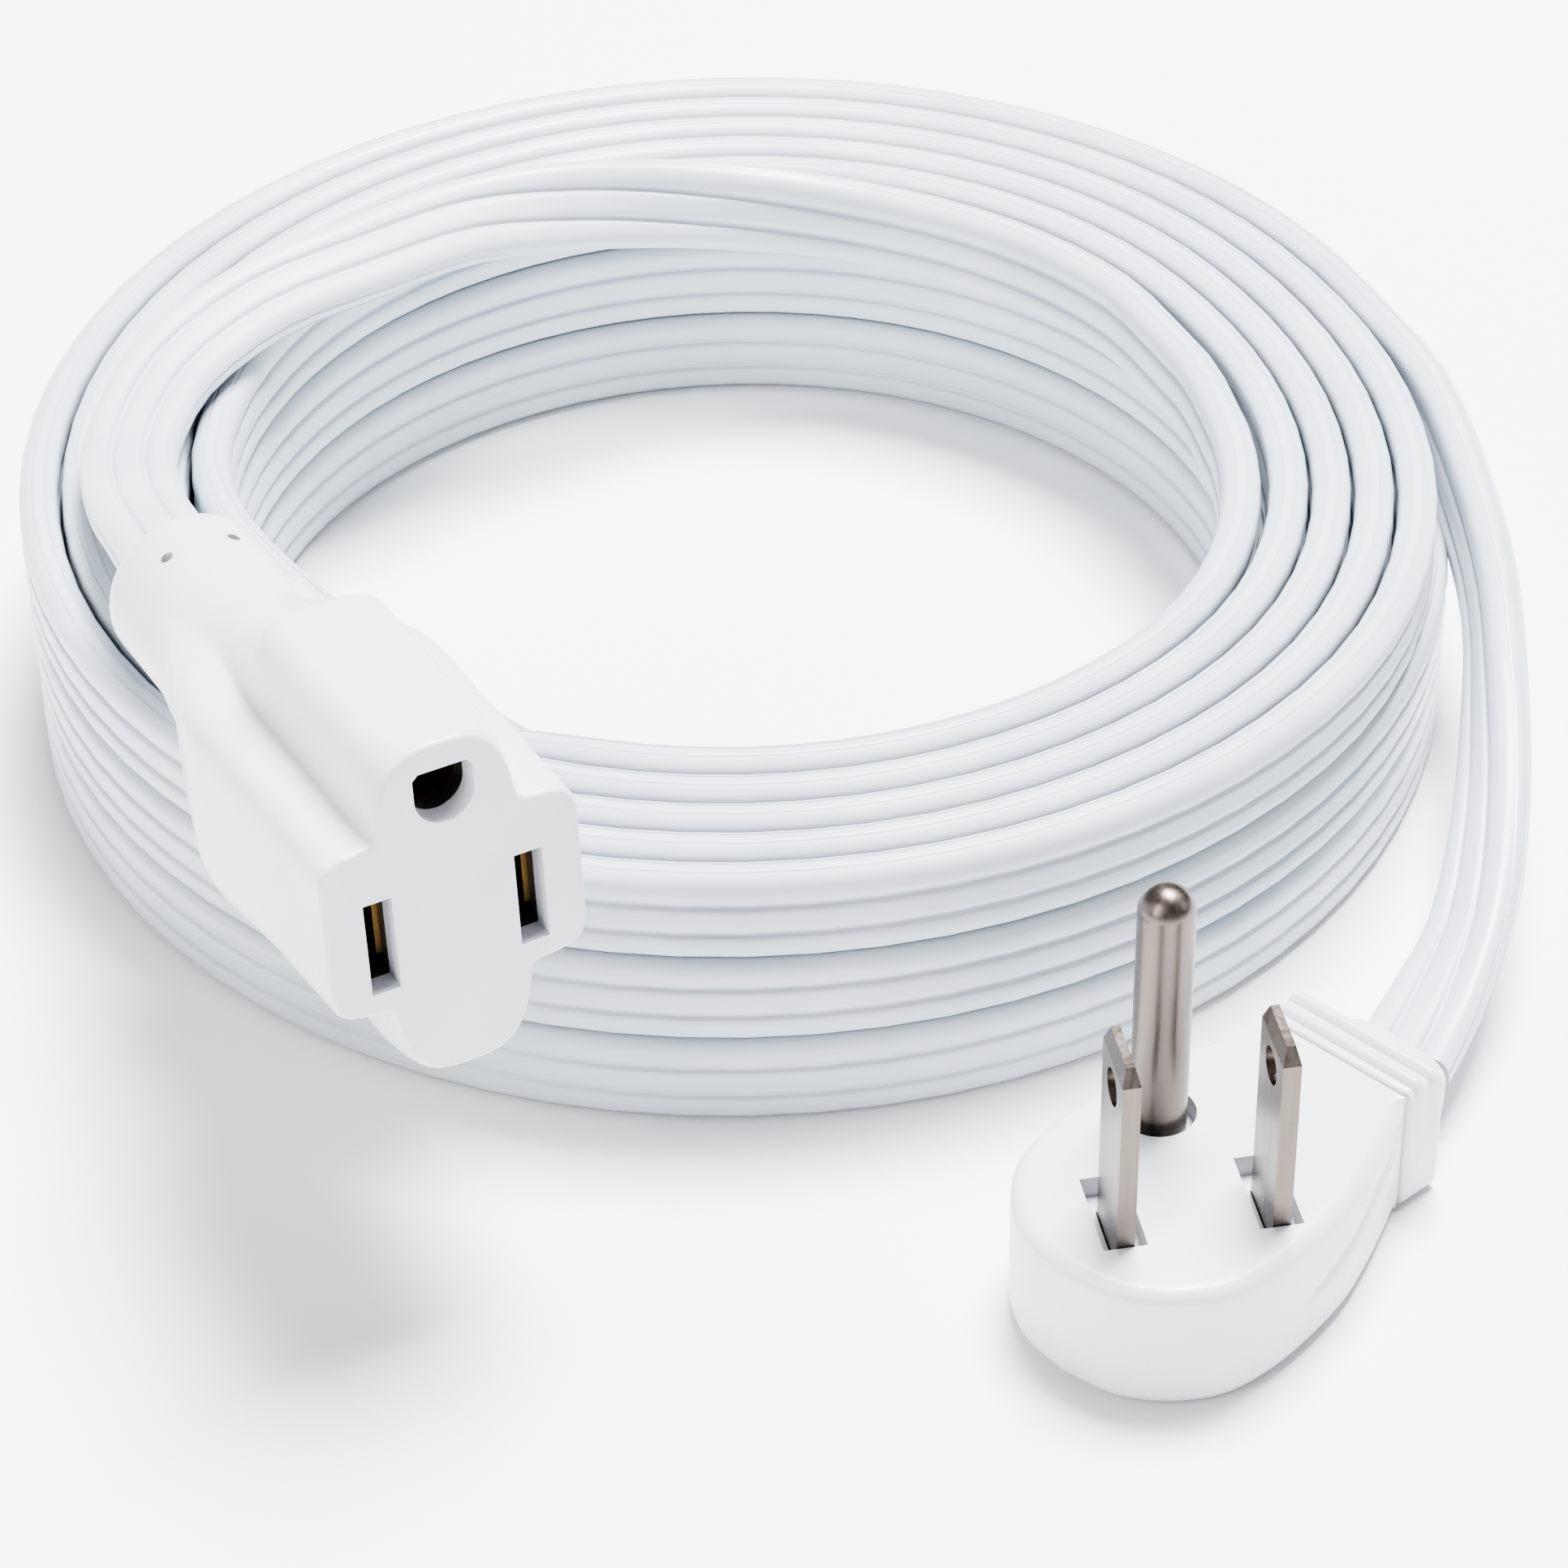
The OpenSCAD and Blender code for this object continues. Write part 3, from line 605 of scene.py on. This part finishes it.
# plug strain relief
relief = {
    "start": 21.7, "length": 4.6, "nearWidth": 14.9, "farWidth": 15.6,
    "foot": 0.2, "top": 12.8, "corner": 0.9, "cornerSteps": 6,
    # along the collar: (distance, how far the sides draw in, lift of the top), with two raised ribs
    "sections": [(0.0, 0.6, -0.6), (0.12, 0.2, -0.25), (0.35, 0.0, -0.1), (0.9, 0.0, -0.1), (1.15, 0.0, 0.35),
                 (1.4, 0.0, 0.5), (1.75, 0.0, 0.5), (2.0, 0.0, 0.35), (2.25, 0.0, -0.15), (2.75, 0.0, -0.15),
                 (3.0, 0.0, 0.35), (3.25, 0.0, 0.5), (3.6, 0.0, 0.5), (3.85, 0.0, 0.35), (4.1, 0.0, -0.1),
                 (4.45, 0.15, -0.25), (4.6, 0.5, -0.7)],
}
neck = {
    "halfWidth": 5.2, "halfHeight": 3.8, "steps": 48,
    # past the collar: (distance, growth of the half height)
    "sections": [(-1.0, 0.0), (0.0, 0.0), (2.0, 0.0), (3.2, -0.1), (3.9, -0.5), (4.25, -1.0), (4.4, -1.6)],
}


def makeRelief():
    r = relief
    rings = []
    for x, inset, lift in r["sections"]:
        half = (r["nearWidth"] + (r["farWidth"] - r["nearWidth"]) * x / r["length"]) / 2 - inset
        low, high, corner = r["foot"] + inset, r["top"] + lift, r["corner"]
        ring = []
        for cy, cz, start in ((half - corner, high - corner, 0), (-half + corner, high - corner, 90),
                              (-half + corner, low + corner, 180), (half - corner, low + corner, 270)):
            for k in range(r["cornerSteps"] + 1):
                a = math.radians(start + 90 * k / r["cornerSteps"])
                ring.append(atPlug(r["start"] + x, cy + corner * math.cos(a), cz + corner * math.sin(a)))
        rings.append(ring)
    bm = bmesh.new()
    loftRings(bm, rings)
    return bm


def makeNeck():
    start = relief["start"] + relief["length"]
    rings = []
    for x, grow in neck["sections"]:
        ring = []
        half, tall = neck["halfWidth"] + grow * 0.4, neck["halfHeight"] + grow
        for j in range(neck["steps"]):
            a = 2 * math.pi * j / neck["steps"]
            c, s = math.cos(a), math.sin(a)
            square = (abs(c) ** 4 + abs(s) ** 4) ** -0.25  # a soft oblong
            ring.append(atPlug(start + x, half * c * square, plugSide["cordHeight"] + tall * s * square))
        rings.append(ring)
    bm = bmesh.new()
    loftRings(bm, rings)
    return bm


def joinedMeshes(parts):
    out = bmesh.new()
    for bm in parts:
        mesh = bpy.data.meshes.new("joined")
        bm.to_mesh(mesh)
        bm.free()
        out.from_mesh(mesh)
    return out


strainRelief = meshObject("plugCollar", joinedMeshes([makeRelief(), makeNeck()]),
                          materials["white_overmould"], 40.0)
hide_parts("plug_strain_relief")
print("strain relief made")

# connector
connector = {
    "rim": 0.45, "rimSteps": 6,  # rounding round the face
    # along the body: half width of the wings, then their reach up and down from the cord's middle
    "wings": [(0, 10.9, 7.7, 7.7), (12, 11.0, 7.6, 8.8), (24, 11.2, 7.4, 10.8), (27, 11.0, 7.3, 10.4),
              (33, 9.4, 6.6, 8.2), (40, 7.0, 5.0, 5.2), (43, 6.6, 4.6, 4.6)],
    # along the body: half width and half height of the ridge, and how square its corners are
    "bulges": [(0, 6.2, 15.1, 3.2), (2, 6.2, 15.1, 4.3), (5, 6.2, 15.1, 5.5), (22.5, 6.1, 15.0, 6.0),
               (24.2, 6.0, 14.2, 5.0), (28, 5.8, 12.0, 4.0), (33, 5.5, 9.4, 3.5), (38, 5.2, 7.2, 3.0),
               (43, 5.0, 5.4, 2.0)],
    "barrelStart": 36.0, "barrelRadius": 7.2,
    "roundFrom": 42.0, "roundOver": 2.5,  # where the shoulder has become the round barrel
    "ringStep": 0.75, "firstRing": 1.0, "lastRing": 53.1, "endFrom": 53.2, "endRound": 0.8,
    "aroundSteps": 240, "wingSquare": 8, "blend": 20,  # a higher blend gives a tighter valley
}
# what is hollow inside, as (low corner, high corner)
connectorInside = {
    "carrier": ((-8.9, 2.1, -5.3), (8.9, 21.1, 5.3)),
    "tower": ((-4.05, 2.1, 0.0), (4.05, 21.1, 15.55)),
    "crimps": ((-8.8, 20.5, -2.5), (8.8, 28.5, 2.5)),
    "groundCrimp": ((-4.0, 20.5, -2.5), (4.0, 28.5, 10.5)),
    "wires": ((-4.4, 21.0, -1.0), (4.4, 39.0, 4.0)),
}
outlet = {
    "slotAcross": 6.35, "slotHalf": (1.2, 4.2), "depth": 3.2, "before": -1.0,
    "groundUp": 11.9, "groundRadius": 2.5,
    "flatTop": [(2.5, 1.9), (2.0, 2.4), (-2.0, 2.4), (-2.5, 1.9)],
}
barrelBores = {"across": 2.95, "from": 37.0, "radius": 1.4, "length": 20}
dimples = {"across": 3.0, "along": 49.0, "up": 5.0, "radius": 0.55, "length": 3}


def atConnector(x, y, z):
    c = connectorSide
    tilt, turn = -math.radians(c["tilt"]), math.radians(c["turn"])
    y, z = y * math.cos(tilt) - z * math.sin(tilt), y * math.sin(tilt) + z * math.cos(tilt)
    return Vector((c["place"][0] + x * math.cos(turn) - y * math.sin(turn),
                   c["place"][1] + x * math.sin(turn) + y * math.cos(turn), c["place"][2] + z)) * mm


def valuesAt(table, y):
    for a, b in zip(table[:-1], table[1:]):
        if y <= b[0]:
            t = (y - a[0]) / (b[0] - a[0])
            return [p + (q - p) * t for p, q in zip(a[1:], b[1:])]
    return list(table[-1][1:])


def blockReach(c, s, a, b, power):
    return (abs(c / a) ** power + abs(s / b) ** power) ** (-1 / power)


def connectorRing(y, inset):
    # the outline is the outermost of the wings, the ridge and the barrel, softly blended
    c = connector
    wingHalf, wingUp, wingDown = valuesAt(c["wings"], y)
    bulgeHalf, bulgeUp, square = valuesAt(c["bulges"], y)
    barrel = c["barrelRadius"] * smoothStep((y - c["barrelStart"] + 5) / 6)
    ring = []
    for j in range(c["aroundSteps"]):
        a = 2 * math.pi * j / c["aroundSteps"]
        across, up = math.cos(a), math.sin(a)
        wing = blockReach(across, up, wingHalf, wingUp if up > 0 else wingDown, c["wingSquare"])
        bulge = blockReach(across, up, bulgeHalf, bulgeUp, square)
        reach = sum(part ** c["blend"] for part in (wing, bulge, barrel)) ** (1 / c["blend"])
        if y > c["roundFrom"]:
            reach += (c["barrelRadius"] - reach) * smoothStep((y - c["roundFrom"]) / c["roundOver"])
        reach -= inset
        ring.append(atConnector(reach * across, y, connectorSide["mid"] + reach * up))
    return ring


def makeConnector():
    c = connector
    turns = [math.radians(90 * k / c["rimSteps"]) for k in range(c["rimSteps"] + 1)]
    rings = [connectorRing(c["rim"] * (1 - math.cos(a)), c["rim"] * (1 - math.sin(a))) for a in turns]
    y = c["firstRing"]
    while y < c["lastRing"]:
        rings.append(connectorRing(y, 0.0))
        y += c["ringStep"]
    for a in turns[1:]:
        rings.append(connectorRing(c["endFrom"] + c["endRound"] * math.sin(a),
                                   c["endRound"] * (1 - math.cos(a))))
    bm = bmesh.new()
    loftRings(bm, rings)
    return bm


def groundHoleCutter():
    # round below, flat on the side away from the slots
    o = outlet
    bm = bmesh.new()
    arc = [math.radians(a) for a in range(180, 361, 10)]
    outline = [(o["groundRadius"] * math.cos(a), o["groundRadius"] * math.sin(a)) for a in arc] + o["flatTop"]
    face = bm.faces.new([bm.verts.new((x, o["before"], o["groundUp"] + z)) for x, z in outline])
    extruded = bmesh.ops.extrude_face_region(bm, geom=[face])
    for v in [g for g in extruded["geom"] if isinstance(g, bmesh.types.BMVert)]:
        v.co.y = o["depth"]
    for v in bm.verts:
        v.co = atConnector(*v.co)
    bmesh.ops.recalc_face_normals(bm, faces=bm.faces)
    return bm


def finishConnector():
    mid = connectorSide["mid"]
    cutters = [boxCutter(low, high, atConnector) for low, high in connectorInside.values()]
    cutters.append(groundHoleCutter())
    bore, slot, dimple = barrelBores, outlet, dimples
    for x in (-bore["across"], 0.0, bore["across"]):
        cutters.append(roundCutter((x, bore["from"], mid), (0, 1, 0), bore["radius"], bore["length"],
                                   atConnector, 24))
    wide, tall = slot["slotHalf"]
    for x in (-slot["slotAcross"], slot["slotAcross"]):
        cutters.append(boxCutter((x - wide, slot["before"], -tall),
                                 (x + wide, slot["depth"], tall), atConnector))
    for x in (-dimple["across"], dimple["across"]):
        cutters.append(roundCutter((x, dimple["along"], mid + dimple["up"]), (0, 0, 1), dimple["radius"],
                                   dimple["length"], atConnector, 20))
    bm = cutOut(makeConnector(), cutters)
    ob = meshObject("connectorShell", bm, materials["white_overmould"], 32.0)
    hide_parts("connector_overmould")
    return ob


connectorShell = finishConnector()
print("connector made")

# studio
studio = {"floorHalf": 3.0, "floorColour": "#FBFBFC", "world": "#FFFFFF", "worldStrength": 0.3}
aim = (0.0, 0.05, 0.0)
# (name, place, size, watts, colour)
lights = [
    ("overheadSoftbox", (0.15, 0.3, 1.0), (0.4, 0.4), 84.0, "#FFFFFF"),
    ("frontStrip", (-0.6, -0.5, 0.5), (0.3, 0.7), 9.0, "#FFFFFF"),
    ("sideFill", (0.9, -0.1, 0.5), (0.5, 0.5), 2.0, "#F1F5FF"),
]


def makeFloor():
    bm = bmesh.new()
    bmesh.ops.create_grid(bm, x_segments=1, y_segments=1, size=studio["floorHalf"])
    mesh = bpy.data.meshes.new("paleFloor")
    bm.to_mesh(mesh)
    bm.free()
    mat, tree, shader = newMaterial("mattPaper")
    shader.inputs["Base Color"].default_value = linearColour(studio["floorColour"])
    shader.inputs["Roughness"].default_value = 0.9
    shader.inputs["Specular IOR Level"].default_value = 0.1
    mesh.materials.append(mat)
    ob = bpy.data.objects.new("paleFloor", mesh)
    bpy.context.scene.collection.objects.link(ob)


def areaLight(name, place, size, power, colour):
    data = bpy.data.lights.new(name, "AREA")
    data.shape = "RECTANGLE"
    data.size, data.size_y = size
    data.energy = power
    data.color = linearColour(colour)[:3]
    ob = bpy.data.objects.new(name, data)
    ob.location = place
    ob.rotation_euler = (Vector(aim) - Vector(place)).to_track_quat("-Z", "Y").to_euler()
    bpy.context.scene.collection.objects.link(ob)


def lightRoom():
    world = bpy.data.worlds.new("whiteRoom")
    bpy.context.scene.world = world
    world.use_nodes = True
    sky = world.node_tree.nodes["Background"]
    sky.inputs["Color"].default_value = linearColour(studio["world"])
    sky.inputs["Strength"].default_value = studio["worldStrength"]


makeFloor()
for light in lights:
    areaLight(*light)
lightRoom()
print("studio ready")
